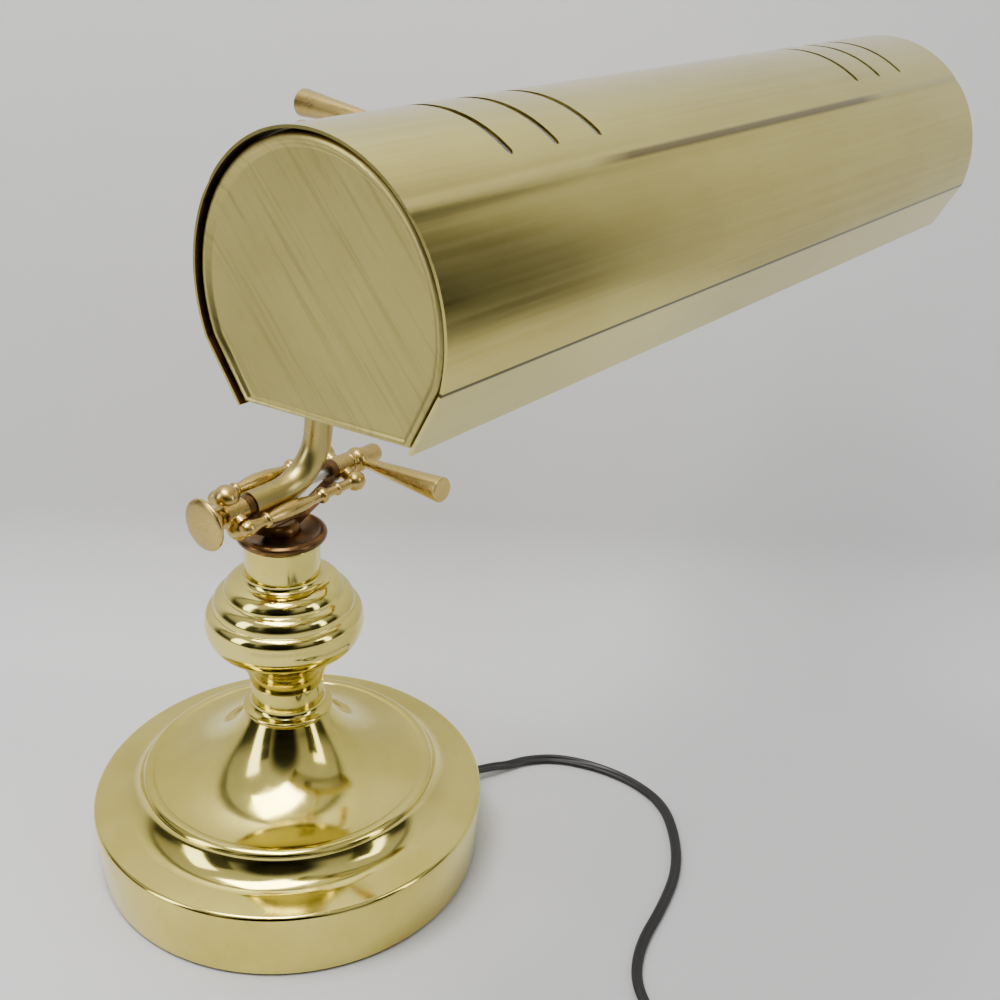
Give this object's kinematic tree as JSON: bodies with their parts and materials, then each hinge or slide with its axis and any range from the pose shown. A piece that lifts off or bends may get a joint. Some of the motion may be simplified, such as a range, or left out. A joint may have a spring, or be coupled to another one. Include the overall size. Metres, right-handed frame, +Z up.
{
  "type": "piano lamp",
  "caption": "Piano lamp with a weighted round base, turned column, swivelling leaning arm and a long half-round slotted shade that tilts over the music desk.",
  "frame": {"origin": "centre of the round base on the table", "axes": "+Z up, +X along the shade, the shade stands in front of the column at -Y"},
  "size_m": [0.353, 0.365, 0.427],
  "materials": {
    "polished_brass": "polished plate",
    "brushed_brass": "satin, brushed lengthwise",
    "warm_brass": "polished, lacquered",
    "dark_bronze": "dark patina",
    "zinc_steel": "zinc plated",
    "cast_weight": "rough cast",
    "felt": "felt",
    "cord_pvc": "matt flexible PVC",
    "black_plastic": "moulded",
    "nylon": "moulded",
    "socket_shell": "phenolic",
    "bulb_glass": "frosted",
    "bulb_cap_metal": "bright",
    "lead_pvc": "flexible PVC"
  },
  "bodies": {
    "base": {"base_shell": "polished_brass", "base_weight": "cast_weight", "weight_spacers": "zinc_steel", "base_plate": "zinc_steel", "base_pad": "felt", "lamp_pipe": "zinc_steel", "pipe_nuts": "zinc_steel", "pipe_washer": "zinc_steel", "pipe_spacer": "zinc_steel", "column_foot": "polished_brass", "column_vase": "polished_brass", "column_neck": "polished_brass", "neck_bushing": "nylon", "cord_gland": "black_plastic", "supply_lead": "lead_pvc", "mains_cord": "cord_pvc", "cord_coil": "cord_pvc", "mains_plug": "black_plastic", "plug_blades": "zinc_steel"},
    "head": {"swivel_head": "dark_bronze", "swivel_collar": "dark_bronze", "post_clip": "zinc_steel"},
    "arm": {"arm_tube": "polished_brass", "hinge_sleeve": "zinc_steel", "rear_spindle": "warm_brass", "front_spindle": "warm_brass", "left_end_block": "warm_brass", "right_end_block": "warm_brass", "arm_eye": "warm_brass", "arm_lead": "lead_pvc"},
    "lower_bolt_and_knob": {"lower_bolt": "zinc_steel", "lower_disc_knob": "warm_brass"},
    "lower_nut_and_lever": {"lower_sleeve_nut": "warm_brass", "lower_lever": "warm_brass"},
    "shade": {"shade_fork": "warm_brass", "shade_stem": "polished_brass", "shade_flange": "warm_brass", "shade_nipple": "zinc_steel", "nipple_nuts": "zinc_steel", "socket_nipple": "zinc_steel", "shade_shell": "brushed_brass", "near_end_cap": "brushed_brass", "far_end_cap": "brushed_brass", "socket_strap": "zinc_steel", "lamp_socket": "socket_shell", "bulb_cap": "bulb_cap_metal", "bulb_glass": "bulb_glass", "stem_lead": "lead_pvc", "switch_body": "socket_shell", "switch_nut": "warm_brass"},
    "upper_bolt_and_knob": {"upper_bolt": "zinc_steel", "upper_disc_knob": "warm_brass", "upper_spacer": "warm_brass"},
    "upper_nut_and_lever": {"upper_sleeve_nut": "warm_brass", "upper_lever": "warm_brass"},
    "switch_turn": {"switch_knob": "black_plastic"}
  },
  "joints": [
    {"name": "column_swivel", "type": "hinge", "parent": "base", "child": "head", "pos_m": [0, 0, 0.19], "axis": [0, 0, 1], "range_deg": [-170, 170]},
    {"name": "arm_tilt", "type": "hinge", "parent": "head", "child": "arm", "pos_m": [0, 0, 0.212], "axis": [1, 0, 0], "range_deg": [-40, 30]},
    {"name": "lower_bolt_turn", "type": "hinge", "parent": "arm", "child": "lower_bolt_and_knob", "pos_m": [-0.04, 0, 0.212], "axis": [1, 0, 0], "continuous": true},
    {"name": "lower_lever_turn", "type": "hinge", "parent": "arm", "child": "lower_nut_and_lever", "pos_m": [0.053, 0, 0.212], "axis": [1, 0, 0], "range_deg": [-90, 90]},
    {"name": "shade_tilt", "type": "hinge", "parent": "arm", "child": "shade", "pos_m": [0.0225, -0.025, 0.3818], "axis": [1, 0, 0], "range_deg": [-45, 45]},
    {"name": "upper_bolt_turn", "type": "hinge", "parent": "arm", "child": "upper_bolt_and_knob", "pos_m": [0.009, -0.025, 0.3818], "axis": [1, 0, 0], "continuous": true},
    {"name": "upper_lever_turn", "type": "hinge", "parent": "arm", "child": "upper_nut_and_lever", "pos_m": [0.053, -0.025, 0.3818], "axis": [1, 0, 0], "range_deg": [-90, 90]},
    {"name": "switch_knob_turn", "type": "hinge", "parent": "shade", "child": "switch_turn", "pos_m": [-0.075, -0.13735, 0.38191], "axis": [0, 0.9995, 0.0323], "continuous": true}
  ]
}
